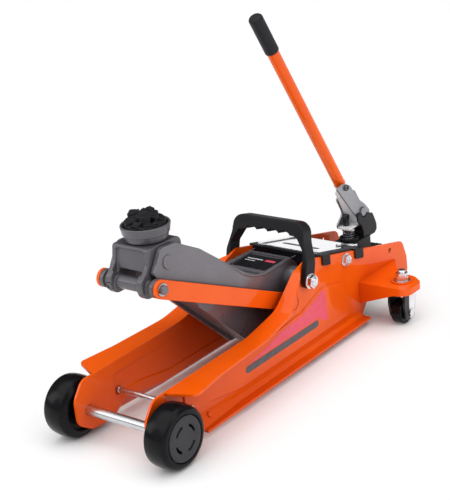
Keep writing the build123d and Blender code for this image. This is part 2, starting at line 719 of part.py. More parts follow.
# --------------------------------------------------- handle yoke and plunger
YOKE_X = 8.0
EAR_IN = 11.2
EAR_OUT = 14.0
with BuildPart() as handle_yoke:
    # tongue between the socket cheeks
    with BuildSketch(side(-YOKE_X)):
        with BuildLine():
            outline([(481, 84, 0), (489, 84, 0), (489, 81.5, 0), (503, 81.5, 3), (508.3, 86, 3), (507.5, 97, 6), (497, 114, 8), (489, 128, 7),
                     (471.5, 128, 7), (471.5, 112, 3), (481, 104, 4)])
        make_face()
    extrude(amount=2 * YOKE_X)
    # full width foot bolted on the pump block
    with BuildSketch(side(-EAR_OUT)):
        with BuildLine():
            outline([(474.5, 84, 0), (489, 84, 0), (489, 81.5, 0), (503, 81.5, 3), (508.3, 86, 3), (508, 94, 0), (474.5, 94, 0)])
        make_face()
    extrude(amount=2 * EAR_OUT)
    # outer ears beside the cheeks
    with BuildSketch(side(EAR_IN)):
        with BuildLine():
            outline([(474.5, 93, 0), (508, 93, 0), (507, 97, 6), (500, 111.5, 5), (472, 120.4, 3), (463, 119.5, 4), (464.5, 109, 6), (472, 101, 4)])
        make_face()
        with Locations(HINGE):
            Circle(7.2, mode=Mode.SUBTRACT)
    extrude(amount=EAR_OUT - EAR_IN)
    with BuildSketch(side(-EAR_OUT)):
        with BuildLine():
            outline([(478, 93, 0), (508, 93, 0), (507, 97, 6), (500, 111.5, 5), (478, 115, 3)])
        make_face()
        with Locations(HINGE):
            Circle(7.2, mode=Mode.SUBTRACT)
    extrude(amount=EAR_OUT - EAR_IN)
    with BuildSketch(side(-16, *HINGE)):
        Circle(5.0)
    extrude(amount=32, mode=Mode.SUBTRACT)
    # bolt boss on the rear face
    with BuildSketch(cross(507, 9, 88.5)):
        RegularPolygon(3.6, 6)
    extrude(amount=-4)
save(handle_yoke, "handle_yoke")

with BuildPart() as hinge_pin:
    with BuildSketch(side(-13.4, *HINGE)):
        Circle(5.0)
    extrude(amount=26.8)
    for x in (11.0, -13.4):
        with BuildSketch(side(x, *HINGE)):
            RegularPolygon(6.4, 6)
        extrude(amount=2.4)
save(hinge_pin, "hinge_pin")

with BuildPart() as plunger_collar:
    with BuildSketch(level(84, 0, PLUNGER_Y)):
        Circle(13)
        Circle(9.2, mode=Mode.SUBTRACT)
    extrude(amount=5)
    fillet(plunger_collar.edges().filter_by(GeomType.CIRCLE).group_by(Axis.Z)[-1], 1.2)
save(plunger_collar, "plunger_collar")

with BuildPart() as pump_plunger:
    with BuildSketch(level(66, 0, PLUNGER_Y)):
        Circle(5)
    extrude(amount=33)
    with BuildSketch(level(98, 0, PLUNGER_Y)):
        Circle(8.6)
    extrude(amount=3.2)
    fillet(pump_plunger.edges().filter_by(GeomType.CIRCLE).group_by(Axis.Z)[-1], 1.0)
save(pump_plunger, "pump_plunger")

with BuildPart() as pump_spring:
    with BuildLine():
        Helix(pitch=3.4, height=11.6, radius=7.2, center=(0, Y0 + PLUNGER_Y, 85.2), direction=(0, 0, 1))
    with BuildSketch(Plane(origin=(7.2, Y0 + PLUNGER_Y, 85.2), x_dir=(1, 0, 0), z_dir=(0, 1, 0.075))):
        Circle(0.9)
    sweep(is_frenet=True)
save(pump_spring, "pump_spring")

with BuildPart() as release_valve:
    with BuildSketch(cross(516, 0, 47.5)):
        Circle(5.0)
    extrude(amount=-11.2)
    with BuildSketch(cross(527.2, 0, 47.5)):
        RegularPolygon(7.5, 6)
    extrude(amount=-5.3)
    with BuildSketch(side(-1, 533, 47.5)):
        Rectangle(4, 16)
    extrude(amount=2, mode=Mode.SUBTRACT)
save(release_valve, "release_valve")

# --------------------------------------------------------- handle and socket
ls, lc = sin(radians(LEAN)), cos(radians(LEAN))
AX0 = (482.5, 108.0)     # point on the handle axis


def along(s, q=0.0):
    # station and height at distance s up the handle axis, q to the rear
    return (AX0[0] - ls * s + lc * q, AX0[1] + lc * s + ls * q)


def tube_plane(s):
    y, z = along(s)
    return Plane(origin=(0, Y0 + y, z), x_dir=(1, 0, 0), z_dir=(0, -ls, lc))


SOCK_IN = 8.6
ADJUST = (-2.5, 459.6)     # adjusting bolt over the plunger
SOCK_T = 2.2
with BuildPart() as handle_socket:
    # tall near cheek and short far cheek
    with BuildSketch(side(SOCK_IN)):
        with BuildLine():
            outline([(*along(81.7, -19.4), 2), (*along(75.8, -5.3), 3), (*along(62.2, 4.4), 5), (*along(30.5, 7.9), 14), (*along(13.8, 14.1), 10), (*along(-5, 18), 5), (482, 104.5, 9), (*along(17.4, -11), 4)])
        make_face()
    extrude(amount=SOCK_T)
    with BuildSketch(side(-SOCK_IN - SOCK_T)):
        with BuildLine():
            outline([(*along(46, -9.7), 3), (*along(46, 10.8), 3), (*along(24, 13), 12), (497, 121, 9), (495, 107, 9), (482, 103, 6), (470, 102, 0), (449, 101.8, 2), (449, 108, 3), (*along(20, -10.5), 8)])
        make_face()
    extrude(amount=SOCK_T)
    # back wall of the channel
    with BuildSketch(side(-SOCK_IN)):
        with BuildLine():
            outline([(*along(45, 8.6), 0), (*along(45, 10.8), 0), (*along(24, 10.8), 0), (*along(24, 8.6), 0)])
        make_face()
    extrude(amount=2 * SOCK_IN)
    with BuildSketch(side(-20, *HINGE)):
        Circle(5.0 + RUN)
    extrude(amount=40, mode=Mode.SUBTRACT)
save(handle_socket, "handle_socket")

with BuildPart() as socket_sleeve:
    for s0 in (27, 50):
        with BuildSketch(tube_plane(s0)):
            Rectangle(2 * SOCK_IN, 15.4)
            Circle(TUBE_R + RUN, mode=Mode.SUBTRACT)
        extrude(amount=7)
    with BuildSketch(tube_plane(33)):
        Circle(8.4)
        Circle(TUBE_R + RUN, mode=Mode.SUBTRACT)
    extrude(amount=36)
    # bright front plate between the cheeks
    with BuildSketch(Plane(origin=(0, Y0 + along(0, -9.7)[0], along(0, -9.7)[1]), x_dir=(1, 0, 0), z_dir=(0, lc, ls))):
        with BuildLine():
            outline([(SOCK_IN, 0, 0), (-SOCK_IN, 0, 0), (-SOCK_IN, -22, 12), (-6.3, -46, 20), (-2.5, -66, 2), (SOCK_IN, -66, 0)])
        make_face()
    extrude(amount=2.05)
    # foot that rests over the plunger
    with BuildSketch(side(-SOCK_IN)):
        with BuildLine():
            outline([(449, 101.8, 0), (474.5, 101.8, 0), (475.4, 104.4, 0), (449, 104.4, 0)])
        make_face()
    extrude(amount=2 * SOCK_IN)
    with BuildSketch(level(101, *ADJUST)):
        Circle(2.0)
    extrude(amount=4, mode=Mode.SUBTRACT)
save(socket_sleeve, "socket_sleeve")

with BuildPart() as socket_screw:
    y1, z1 = along(67, -4)
    with BuildSketch(side(SOCK_IN + SOCK_T, y1, z1)):
        Circle(4.2)
    extrude(amount=3.0)
    chamfer(socket_screw.edges().filter_by(GeomType.CIRCLE).sort_by(Axis.X)[-1], 0.8)
    with BuildSketch(side(SOCK_IN + SOCK_T + 1.5, y1, z1)):
        RegularPolygon(2.3, 6)
    extrude(amount=3, mode=Mode.SUBTRACT)
save(socket_screw, "socket_screw")

with BuildPart() as socket_bolt:
    with BuildSketch(level(101.8, *ADJUST)):
        Circle(2.0)
    extrude(amount=2.6)
    with BuildSketch(level(104.4, *ADJUST)):
        RegularPolygon(4.6, 6)
    extrude(amount=6.0)
    with BuildSketch(level(110.4, *ADJUST)):
        Circle(2.8)
    extrude(amount=2.0)
    with BuildSketch(level(112.4, *ADJUST)):
        RegularPolygon(4.6, 6, rotation=20)
    extrude(amount=6.8)
save(socket_bolt, "socket_bolt")

with BuildPart() as handle_tube:
    with BuildSketch(tube_plane(27)):
        Circle(TUBE_R)
    extrude(amount=279)
    chamfer(handle_tube.edges().filter_by(GeomType.CIRCLE), 0.7)
save(handle_tube, "handle_tube")

with BuildPart() as handle_grip:
    with BuildSketch(tube_plane(304)):
        Circle(8.8)
    extrude(amount=54)
    fillet(handle_grip.edges().filter_by(GeomType.CIRCLE).sort_by(Axis.Z)[-1], 4.0)
    fillet(handle_grip.edges().filter_by(GeomType.CIRCLE).sort_by(Axis.Z)[0], 1.0)
    with BuildSketch(tube_plane(303)):
        Circle(TUBE_R)
    extrude(amount=3.0, mode=Mode.SUBTRACT)
save(handle_grip, "handle_grip")

# -------------------------------------------------------------- rear casters
with BuildPart() as caster_bracket_left:
    with BuildSketch(level(53)):
        with BuildLine():
            outline([(PLATE_OUT, 396, 0), (124.5, 396, 13), (125, 430, 12), (SWIVEL[0] + 8, 443, 14), (SWIVEL[0] - 14, 447, 12), (70, 462, 8), (PLATE_OUT, 486, 0)])
        make_face()
    extrude(amount=3)
    # skirt around the front and outer edge
    with BuildSketch(level(27)):
        with BuildLine():
            outline([(PLATE_OUT, 396, 0), (124.5, 396, 13), (125, 430, 12), (SWIVEL[0] + 8, 443, 14), (SWIVEL[0] - 14, 447, 12), (70, 462, 8), (PLATE_OUT, 486, 0)])
        make_face()
        with BuildLine():
            outline([(PLATE_OUT - 2, 399, 0), (121.5, 399, 10), (121.9, 423, 0), (121.9, 500, 0), (PLATE_OUT - 2, 500, 0)])
        make_face(mode=Mode.SUBTRACT)
    extrude(amount=26)
    with BuildSketch(cross(380)):
        with BuildLine():
            outline([(PLATE_OUT - 1, 26, 0), (140, 26, 0), (140, 49, 0), (104, 46, 20), (PLATE_OUT - 1, 26.5, 0)])
        make_face()
    extrude(amount=-90, mode=Mode.SUBTRACT)
    # pressed ring round the swivel bolt
    with BuildSketch(level(55.9, *SWIVEL)):
        Circle(14)
        Circle(10.5, mode=Mode.SUBTRACT)
    extrude(amount=1.6)
    with BuildSketch(level(50, *SWIVEL)):
        Circle(5)
    extrude(amount=10, mode=Mode.SUBTRACT)
save(caster_bracket_left, "caster_bracket_left")

with BuildPart() as caster_bracket_right:
    mirror(caster_bracket_left.part, about=Plane.YZ)
save(caster_bracket_right, "caster_bracket_right")

with BuildPart() as swivel_bolt_left:
    with BuildSketch(level(41.2, *SWIVEL)):
        Circle(8.5)
    extrude(amount=1.6)
    with BuildSketch(level(42.8, *SWIVEL)):
        Circle(5)
    extrude(amount=28.4)
    with BuildSketch(level(56, *SWIVEL)):
        Circle(9.5)
    extrude(amount=1.5)
    with BuildSketch(level(57.5, *SWIVEL)):
        RegularPolygon(8.4, 6, rotation=15)
    extrude(amount=6.2)
    with BuildSketch(level(63.7, *SWIVEL)):
        RegularPolygon(8.0, 6, rotation=33)
    extrude(amount=3.8)
    with BuildSketch(level(49.6, *SWIVEL)):
        Circle(11)
    extrude(amount=3.4)
    chamfer(swivel_bolt_left.edges().filter_by(GeomType.CIRCLE).sort_by(Axis.Z)[-1], 0.8)
save(swivel_bolt_left, "swivel_bolt_left")

with BuildPart() as swivel_bolt_right:
    mirror(swivel_bolt_left.part, about=Plane.YZ)
save(swivel_bolt_right, "swivel_bolt_right")

WY = SWIVEL[1] + TRAIL
with BuildPart() as caster_fork_left:
    with BuildSketch(level(43.1, *SWIVEL)):
        Circle(15.5)
        with Locations((0, 8)):
            Rectangle(26, 16)
    extrude(amount=6.2)
    for x in (-12.5, 9.5):
        with BuildSketch(side(SWIVEL[0] + x)):
            with BuildLine():
                outline([(SWIVEL[1] - 15, 46, 2), (WY - 13, 30, 10), (WY - 9, 7, 7), (WY + 9, 7, 7), (WY + 13, 28, 10), (SWIVEL[1] + 15, 46, 2)])
            make_face()
        extrude(amount=3)
    with BuildSketch(level(40, *SWIVEL)):
        Circle(5 + RUN)
    extrude(amount=12, mode=Mode.SUBTRACT)
    with BuildSketch(side(SWIVEL[0] - 20, WY, CASTER_R)):
        Circle(3)
    extrude(amount=40, mode=Mode.SUBTRACT)
save(caster_fork_left, "caster_fork_left")

with BuildPart() as caster_fork_right:
    mirror(caster_fork_left.part, about=Plane.YZ)
save(caster_fork_right, "caster_fork_right")

with BuildPart() as caster_wheel_left:
    with BuildSketch(level(CASTER_R, SWIVEL[0], WY)):
        with BuildLine():
            Polyline((-9.1, 3 + RUN), (-9.1, 7.5), (-7.5, 8.5), (-7.5, 14))
            ThreePointArc((-7.5, 14), (-6.8, 15.8), (-5, CASTER_R))
            Line((-5, CASTER_R), (5, CASTER_R))
            ThreePointArc((5, CASTER_R), (6.8, 15.8), (7.5, 14))
            Polyline((7.5, 14), (7.5, 8.5), (9.1, 7.5), (9.1, 3 + RUN), (-9.1, 3 + RUN))
        make_face()
    revolve(axis=xaxis(WY, CASTER_R))
save(caster_wheel_left, "caster_wheel_left")

with BuildPart() as caster_wheel_right:
    mirror(caster_wheel_left.part, about=Plane.YZ)
save(caster_wheel_right, "caster_wheel_right")

with BuildPart() as caster_axle_left:
    with BuildSketch(side(SWIVEL[0] - 12.5, WY, CASTER_R)):
        Circle(3)
    extrude(amount=25)
    for x in (-15.5, 12.5):
        with BuildSketch(side(SWIVEL[0] + x, WY, CASTER_R)):
            RegularPolygon(5.6, 6)
        extrude(amount=3)
save(caster_axle_left, "caster_axle_left")

with BuildPart() as caster_axle_right:
    mirror(caster_axle_left.part, about=Plane.YZ)
save(caster_axle_right, "caster_axle_right")
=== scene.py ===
import bpy, bmesh, math, random
from mathutils import Vector, Matrix, Euler, noise


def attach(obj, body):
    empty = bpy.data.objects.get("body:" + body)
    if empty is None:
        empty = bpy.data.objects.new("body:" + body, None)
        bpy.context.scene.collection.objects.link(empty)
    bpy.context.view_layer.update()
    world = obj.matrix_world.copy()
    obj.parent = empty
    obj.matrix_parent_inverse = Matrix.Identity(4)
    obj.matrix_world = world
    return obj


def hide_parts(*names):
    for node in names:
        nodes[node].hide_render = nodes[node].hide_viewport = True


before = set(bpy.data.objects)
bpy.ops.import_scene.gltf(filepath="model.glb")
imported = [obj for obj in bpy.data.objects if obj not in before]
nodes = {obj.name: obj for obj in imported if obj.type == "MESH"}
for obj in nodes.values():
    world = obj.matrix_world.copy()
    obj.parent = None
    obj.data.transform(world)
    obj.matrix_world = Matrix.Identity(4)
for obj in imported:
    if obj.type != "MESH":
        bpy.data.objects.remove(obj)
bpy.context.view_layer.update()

MM = 0.001
Y0 = -248.25          # station to frame shift, in millimetres


def P(x, y, z):
    return Vector((x * MM, (y + Y0) * MM, z * MM))


# ------------------------------------------------------------------ materials
def new_mat(name):
    m = bpy.data.materials.new(name)
    m.use_nodes = True
    t = m.node_tree
    t.nodes.clear()
    out = t.nodes.new("ShaderNodeOutputMaterial")
    b = t.nodes.new("ShaderNodeBsdfPrincipled")
    t.links.new(b.outputs["BSDF"], out.inputs["Surface"])
    return m, t, b


def coords(t, scale=(1, 1, 1)):
    c = t.nodes.new("ShaderNodeTexCoord")
    mp = t.nodes.new("ShaderNodeMapping")
    mp.inputs["Scale"].default_value = scale
    t.links.new(c.outputs["Object"], mp.inputs["Vector"])
    return mp.outputs["Vector"]


def noise_tex(t, vec, scale, detail=3.0, rough=0.55):
    n = t.nodes.new("ShaderNodeTexNoise")
    n.inputs["Scale"].default_value = scale
    n.inputs["Detail"].default_value = detail
    n.inputs["Roughness"].default_value = rough
    t.links.new(vec, n.inputs["Vector"])
    return n.outputs["Fac"]


def span(t, fac, a, b, lo=0.3, hi=0.7):
    r = t.nodes.new("ShaderNodeMapRange")
    r.inputs["From Min"].default_value = lo
    r.inputs["From Max"].default_value = hi
    r.inputs["To Min"].default_value = a
    r.inputs["To Max"].default_value = b
    t.links.new(fac, r.inputs["Value"])
    return r.outputs["Result"]


def mix_col(t, fac, a, b):
    m = t.nodes.new("ShaderNodeMix")
    m.data_type = "RGBA"
    if isinstance(fac, float):
        m.inputs["Factor"].default_value = fac
    else:
        t.links.new(fac, m.inputs["Factor"])
    for k, v in (("A", a), ("B", b)):
        s = [i for i in m.inputs if i.name == k and i.type == "RGBA"][0]
        if isinstance(v, tuple):
            s.default_value = (*v, 1)
        else:
            t.links.new(v, s)
    return [o for o in m.outputs if o.type == "RGBA"][0]


def bump(t, b, height, strength, dist, prev=None):
    n = t.nodes.new("ShaderNodeBump")
    n.inputs["Strength"].default_value = strength
    n.inputs["Distance"].default_value = dist
    t.links.new(height, n.inputs["Height"])
    if prev is not None:
        t.links.new(prev, n.inputs["Normal"])
    if b is not None:
        t.links.new(n.outputs["Normal"], b.inputs["Normal"])
    return n.outputs["Normal"]


def soft_edge(t, r):
    e = t.nodes.new("ShaderNodeBevel")
    e.samples = 4
    e.inputs["Radius"].default_value = r
    return e.outputs["Normal"]


def paint(name, col, dark, rough, coat, coat_rough, peel=0.05, metal=0.0, spec=0.5, painted_shade_col=None, reach=0.11, soft=0.0007):
    m, t, b = new_mat(name)
    v = coords(t)
    cloud = noise_tex(t, v, 14, 4)
    c = mix_col(t, span(t, cloud, 0.0, 1.0, 0.35, 0.7), col, dark)
    grain = noise_tex(t, v, 1500, 2)
    c2 = mix_col(t, span(t, grain, 0.0, 0.10, 0.5, 0.8), c, tuple(x * 0.55 for x in col))
    # painted shade: where ambient occlusion finds nearby surfaces within reach, the base colour is mixed towards the
    # given dark colour, darkening crevices and recesses
    if painted_shade_col is not None:
        ao = t.nodes.new("ShaderNodeAmbientOcclusion")
        ao.samples = 6
        ao.inputs["Distance"].default_value = reach
        c2 = mix_col(t, span(t, ao.outputs["AO"], 0.85, 0.0, 0.12, 0.80), c2, painted_shade_col)
    t.links.new(c2, b.inputs["Base Color"])
    scuff = noise_tex(t, v, 60, 5, 0.65)
    t.links.new(span(t, scuff, rough * 0.85, rough * 1.3, 0.35, 0.75), b.inputs["Roughness"])
    b.inputs["Metallic"].default_value = metal
    b.inputs["Specular IOR Level"].default_value = spec
    b.inputs["Coat Weight"].default_value = coat
    b.inputs["Coat Roughness"].default_value = coat_rough
    h1 = noise_tex(t, v, 420, 2)
    bump(t, b, h1, peel, 0.0004, soft_edge(t, soft) if soft else None)
    return m


def steel(name, col, rough, streak=(1, 1, 1), var=0.25, dull=0.12, bmp=0.05):
    m, t, b = new_mat(name)
    v = coords(t, streak)
    fine = noise_tex(t, v, 500, 4, 0.6)
    cloud = noise_tex(t, coords(t), 70, 4, 0.6)
    c = mix_col(t, span(t, cloud, 0.0, var, 0.4, 0.75), col, tuple(x * 0.62 for x in col))
    t.links.new(c, b.inputs["Base Color"])
    b.inputs["Metallic"].default_value = 1.0
    mx = t.nodes.new("ShaderNodeMath")
    mx.operation = "ADD"
    t.links.new(span(t, fine, rough * 0.75, rough * 1.25), mx.inputs[0])
    t.links.new(span(t, cloud, 0.0, dull, 0.45, 0.75), mx.inputs[1])
    t.links.new(mx.outputs[0], b.inputs["Roughness"])
    bump(t, b, fine, bmp, 0.0002)
    return m


def plastic(name, col, rough, grain=2200, gs=0.10, dist=0.0003, spec=0.5, dust=0.03, lift=1.35):
    m, t, b = new_mat(name)
    v = coords(t)
    cloud = noise_tex(t, v, 40, 4)
    c = mix_col(t, span(t, cloud, 0.0, 1.0, 0.35, 0.75), col, tuple(min(1, x * lift + dust * 0.05 * (lift - 1) / 0.35) for x in col))
    t.links.new(c, b.inputs["Base Color"])
    g = noise_tex(t, v, grain, 2, 0.5)
    mx = t.nodes.new("ShaderNodeMath")
    mx.operation = "ADD"
    t.links.new(span(t, g, rough * 0.9, rough * 1.12), mx.inputs[0])
    t.links.new(span(t, cloud, -0.03, 0.05, 0.4, 0.7), mx.inputs[1])
    t.links.new(mx.outputs[0], b.inputs["Roughness"])
    b.inputs["Specular IOR Level"].default_value = spec
    n1 = bump(t, None, g, gs, dist)
    bump(t, b, cloud, 0.04, 0.002, n1)
    return m


# the last colour tuple of ORANGE, GREY and CAST is the painted shade colour their recesses are darkened towards
ORANGE = paint("orange_gloss", (0.94, 0.118, 0.001), (0.88, 0.102, 0.001), 0.40, 0.50, 0.03, 0.03, 0.0, 0.06, (0.50, 0.040, 0.0005))
GREY = paint("grey_satin", (0.168, 0.158, 0.177), (0.140, 0.132, 0.148), 0.31, 0.50, 0.10, 0.06, 0.25, 0.40, (0.050, 0.047, 0.053), 0.04, 0.0)
CAST = paint("grey_cast", (0.112, 0.106, 0.119), (0.088, 0.083, 0.093), 0.36, 0.36, 0.14, 0.14, 0.20, 0.38, (0.036, 0.034, 0.038), 0.04)
SOCKET = paint("socket_zinc_grey", (0.34, 0.34, 0.36), (0.27, 0.27, 0.29), 0.30, 0.25, 0.12, 0.06, 0.75)
ZINC = steel("zinc_bright", (0.80, 0.80, 0.82), 0.16)
AXLE = steel("axle_turned", (0.62, 0.63, 0.65), 0.22, (1, 0.05, 0.05))
PALE = paint("zinc_pale", (0.92, 0.92, 0.94), (0.84, 0.84, 0.86), 0.34, 0.15, 0.2, 0.05, 0.10, 0.5)
CLIP = steel("clip_steel", (0.46, 0.46, 0.48), 0.22)
DARK = steel("dark_steel", (0.16, 0.16, 0.17), 0.30)
GROUND = steel("ground_steel", (0.62, 0.62, 0.64), 0.22, (1, 0.06, 0.06))
MIRROR = steel("bright_sheet", (0.90, 0.90, 0.92), 0.045, (1, 0.1, 1), 0.05, 0.02, 0.01)
BLACKPLASTIC = plastic("black_plastic", (0.009, 0.009, 0.012), 0.42, spec=0.20)
WHEEL = plastic("wheel_plastic", (0.0025, 0.0025, 0.0035), 0.24, 1500, 0.04, spec=0.15)
CAP = plastic("cap_plastic", (0.030, 0.030, 0.034), 0.45, 2600, 0.12, spec=0.22)
CASTING = plastic("black_casting", (0.009, 0.009, 0.011), 0.48, 900, 0.30, 0.0006, spec=0.30)
BLACKPAINT = paint("black_paint", (0.008, 0.008, 0.010), (0.011, 0.011, 0.013), 0.35, 0.2, 0.15, 0.06, 0.0, 0.3)
RUBBER = plastic("black_rubber", (0.009, 0.009, 0.011), 0.55, 1200, 0.25, 0.0005, 0.22)
GRIP = plastic("grip_rubber", (0.012, 0.012, 0.015), 0.50, 2600, 0.25, 0.0004, 0.22)
LABEL = plastic("label_black", (0.008, 0.008, 0.010), 0.22, 3000, 0.02)
DECAL_RED = plastic("decal_red", (0.80, 0.078, 0.130), 0.26, 3000, 0.01, spec=0.35, lift=1.05)
DECAL_GREY = plastic("decal_grey", (0.088, 0.080, 0.088), 0.28, 3000, 0.01, spec=0.35, lift=1.08)
MARK_PALE = plastic("mark_pale", (0.62, 0.62, 0.62), 0.30, 3000, 0.01)

LOOK = {
    "side_plate": ORANGE, "caster_bracket": ORANGE, "link_bar": ORANGE, "handle_tube": ORANGE,
    "lift_arm": GREY, "saddle_carrier": CAST, "saddle": CAST, "handle_socket": SOCKET, "carrier_screw": CAST, "carrier_pin": GREY, "link_pin": GREY, "link_clip": CLIP, "socket_sleeve": PALE, "socket_bolt": BLACKPAINT, "socket_screw": DARK, "hinge_pin": SOCKET, "frame_rivet": ORANGE, "link_stud": ORANGE, "pump_spring": DARK,
    "front_axle": AXLE, "tie_rod": AXLE, "arm_pivot_tube": GREY, "ram": GROUND, "pump_plunger": GROUND, "cover_plate": MIRROR,
    "pump_block": CASTING, "cylinder_tube": CASTING, "handle_yoke": CASTING, "cover_frame": BLACKPLASTIC, "carry_handle": BLACKPLASTIC,
    "front_wheel": WHEEL, "caster_wheel": WHEEL, "wheel_cap": CAP, "caster_fork": BLACKPAINT, "arm_label": LABEL,
    "saddle_pad": RUBBER, "plunger_collar": RUBBER, "handle_grip": GRIP,
}
# edge rounding in millimetres for the small hardware
EDGE = {"pivot_nut": 0.5, "block_bolt": 0.45, "hinge_pin": 0.45, "socket_bolt": 0.4, "swivel_bolt": 0.4, "tie_rod": 0.35, "caster_axle": 0.4,
        "release_valve": 0.4, "push_pin": 0.5, "link_stud": 0.4, "caster_wheel": 0.4, "link_clip": 0.25}


def family(n):
    best = ""
    for k in LOOK:
        if n.startswith(k) and len(k) > len(best):
            best = k
    return best


def finish_node(n, o):
    mat = LOOK.get(family(n), ZINC)
    o.data.materials.clear()
    o.data.materials.append(mat)
    e = max((k for k in EDGE if n.startswith(k)), key=len, default=None)
    if e is None:
        return
    for p in o.data.polygons:
        p.use_smooth = True
    wd = o.modifiers.new("weld", "WELD")
    wd.merge_threshold = 2e-6
    bv = o.modifiers.new("edges", "BEVEL")
    bv.width = EDGE[e] * MM
    bv.segments = 2
    bv.limit_method = "ANGLE"
    bv.angle_limit = math.radians(32)
    bv.use_clamp_overlap = True
    bv.miter_outer = "MITER_ARC"
    wn = o.modifiers.new("normals", "WEIGHTED_NORMAL")
    wn.weight = 100
    wn.keep_sharp = False


for n, o in nodes.items():
    finish_node(n, o)


# ---------------------------------------------------------------- mesh helpers
def add_mesh(name, bm, mat, body, smooth=True):
    me = bpy.data.meshes.new(name)
    bmesh.ops.recalc_face_normals(bm, faces=bm.faces)
    bm.to_mesh(me)
    bm.free()
    for p in me.polygons:
        p.use_smooth = smooth
    o = bpy.data.objects.new(name, me)
    bpy.context.scene.collection.objects.link(o)
    me.materials.append(mat)
    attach(o, body)
    return o


def bake_mods(o):
    dg = bpy.context.evaluated_depsgraph_get()
    me = bpy.data.meshes.new_from_object(o.evaluated_get(dg))
    mats = list(o.data.materials)
    o.modifiers.clear()
    o.data = me
    if not me.materials:
        for m in mats:
            me.materials.append(m)


def slab(name, pts, x, t, mat, body, edge=0.08):
    # thin film on a plane of constant x, points in (station, height)
    bm = bmesh.new()
    f = bm.faces.new([bm.verts.new(P(x, y, z)) for y, z in pts])
    r = bmesh.ops.extrude_face_region(bm, geom=[f])
    bmesh.ops.translate(bm, vec=(t * MM, 0, 0), verts=[v for v in r["geom"] if isinstance(v, bmesh.types.BMVert)])
    o = add_mesh(name, bm, mat, body, smooth=False)
    b = o.modifiers.new("edge", "BEVEL")
    b.width = edge * MM
    b.segments = 2
    b.limit_method = "ANGLE"
    return o


def arc(cx, cy, r, a0, a1, n):
    return [(cx + r * math.cos(math.radians(a0 + (a1 - a0) * i / n)), cy + r * math.sin(math.radians(a0 + (a1 - a0) * i / n))) for i in range(n + 1)]


# --------------------------------------------------------- plain side markings
WEDGE = [(153, 46.0), (299, 46.0), (301.5, 45.0), (303.8, 42.5), (319.6, 35.5), (316.9, 75.0), (314.5, 77.6), (311.5, 77.2),
         (291, 70.0), (266, 62.2), (222, 59.0), (190, 50.8), (176, 49.0)]
BAR = arc(295.0, 40.0, 4.4, -90, 90, 14) + arc(155.0, 40.0, 4.4, 90, 270, 14)
for s, side in ((1, "left"), (-1, "right")):
    x = 55.5 if s > 0 else -55.5
    slab(f"side_wedge_{side}", WEDGE if s > 0 else WEDGE[::-1], x, 0.18 * s, DECAL_RED, "frame")
    slab(f"side_bar_{side}", BAR if s > 0 else BAR[::-1], x, 0.20 * s, DECAL_GREY, "frame")


# ------------------------------------------------------- plain marks on the label
def tile(name, x0, y0, x1, y1, z, t, mat, body):
    bm = bmesh.new()
    bmesh.ops.create_cube(bm, size=1.0)
    c = P((x0 + x1) / 2, (y0 + y1) / 2, z + t / 2)
    for v in bm.verts:
        v.co = Vector((v.co.x * (x1 - x0) * MM, v.co.y * (y1 - y0) * MM, v.co.z * t * MM)) + c
    o = add_mesh(name, bm, mat, body, smooth=False)
    b = o.modifiers.new("edge", "BEVEL")
    b.width = min(0.05, t * 0.4) * MM
    b.segments = 2
    return o


tile("label_stripe_pale", -21, 268, 2, 270.2, 124.8, 0.12, MARK_PALE, "arm")
tile("label_stripe_red", 6, 266.5, 20, 271.5, 124.8, 0.12, DECAL_RED, "arm")
tile("label_stripe_low", -21, 262.6, -6, 264.0, 124.8, 0.12, MARK_PALE, "arm")


# ------------------------------------------------ rolled rim on the cheeks of the arm
def rounded(pts):
    # open path through (station, height, radius) corners, each turned into an arc
    out = [Vector(pts[0][:2])]
    for i in range(1, len(pts) - 1):
        q = Vector(pts[i][:2])
        a = (Vector(pts[i - 1][:2]) - q).normalized()
        b = (Vector(pts[i + 1][:2]) - q).normalized()
        half = math.acos(max(-1.0, min(1.0, a.dot(b)))) / 2
        d = pts[i][2] / math.tan(half)
        c = q + (a + b).normalized() * (pts[i][2] / math.sin(half))
        p0, p1 = q + a * d - c, q + b * d - c
        for k in range(15):
            w = p0.lerp(p1, k / 14)
            out.append(c + w.normalized() * pts[i][2])
    out.append(Vector(pts[-1][:2]))
    return out


def bead(name, path, x, r, mat, body):
    bm = bmesh.new()
    rows = []
    n = len(path)
    for i, q in enumerate(path):
        d = (path[min(i + 1, n - 1)] - path[max(i - 1, 0)]).normalized()
        up = Vector((-d.y, d.x))
        k = 0.35 if i in (0, n - 1) else 1.0
        rows.append([bm.verts.new(P(x + r * k * math.cos(u * math.pi / 6), q.x + up.x * r * k * math.sin(u * math.pi / 6), q.y + up.y * r * k * math.sin(u * math.pi / 6))) for u in range(12)])
    for a, b in zip(rows, rows[1:]):
        for u in range(12):
            bm.faces.new((a[u], a[(u + 1) % 12], b[(u + 1) % 12], b[u]))
    bm.faces.new(rows[0])
    bm.faces.new(rows[-1][::-1])
    return add_mesh(name, bm, mat, body)


RIM = rounded([(131, 189.4, 0), (212, 125.6, 85), (296.4, 125.6, 0)])
for s, side in ((1, "left"), (-1, "right")):
    bead(f"arm_rim_{side}", RIM, 31.0 * s, 2.0, GREY, "arm")


# ------------------------------------------- painted shade on the bright cover: a dark strip under the far bead and a dark film over the slot
def on_cover(name, pts, lift, t, mat):
    bm = bmesh.new()
    f = bm.faces.new([bm.verts.new(P(x, y, 122 - 0.239 * (y - 306) + lift)) for x, y in pts])
    r = bmesh.ops.extrude_face_region(bm, geom=[f])
    bmesh.ops.translate(bm, vec=(0, 0, t * MM), verts=[v for v in r["geom"] if isinstance(v, bmesh.types.BMVert)])
    o = add_mesh(name, bm, mat, "frame", smooth=False)
    b = o.modifiers.new("edge", "BEVEL")
    b.width = 0.04 * MM
    b.segments = 2
    return o


def oval(x0, x1, y, r):
    return [(x1 + r * math.cos(math.radians(a)), y + r * math.sin(math.radians(a))) for a in range(-90, 91, 15)] + \
           [(x0 + r * math.cos(math.radians(a)), y + r * math.sin(math.radians(a))) for a in range(90, 271, 15)]
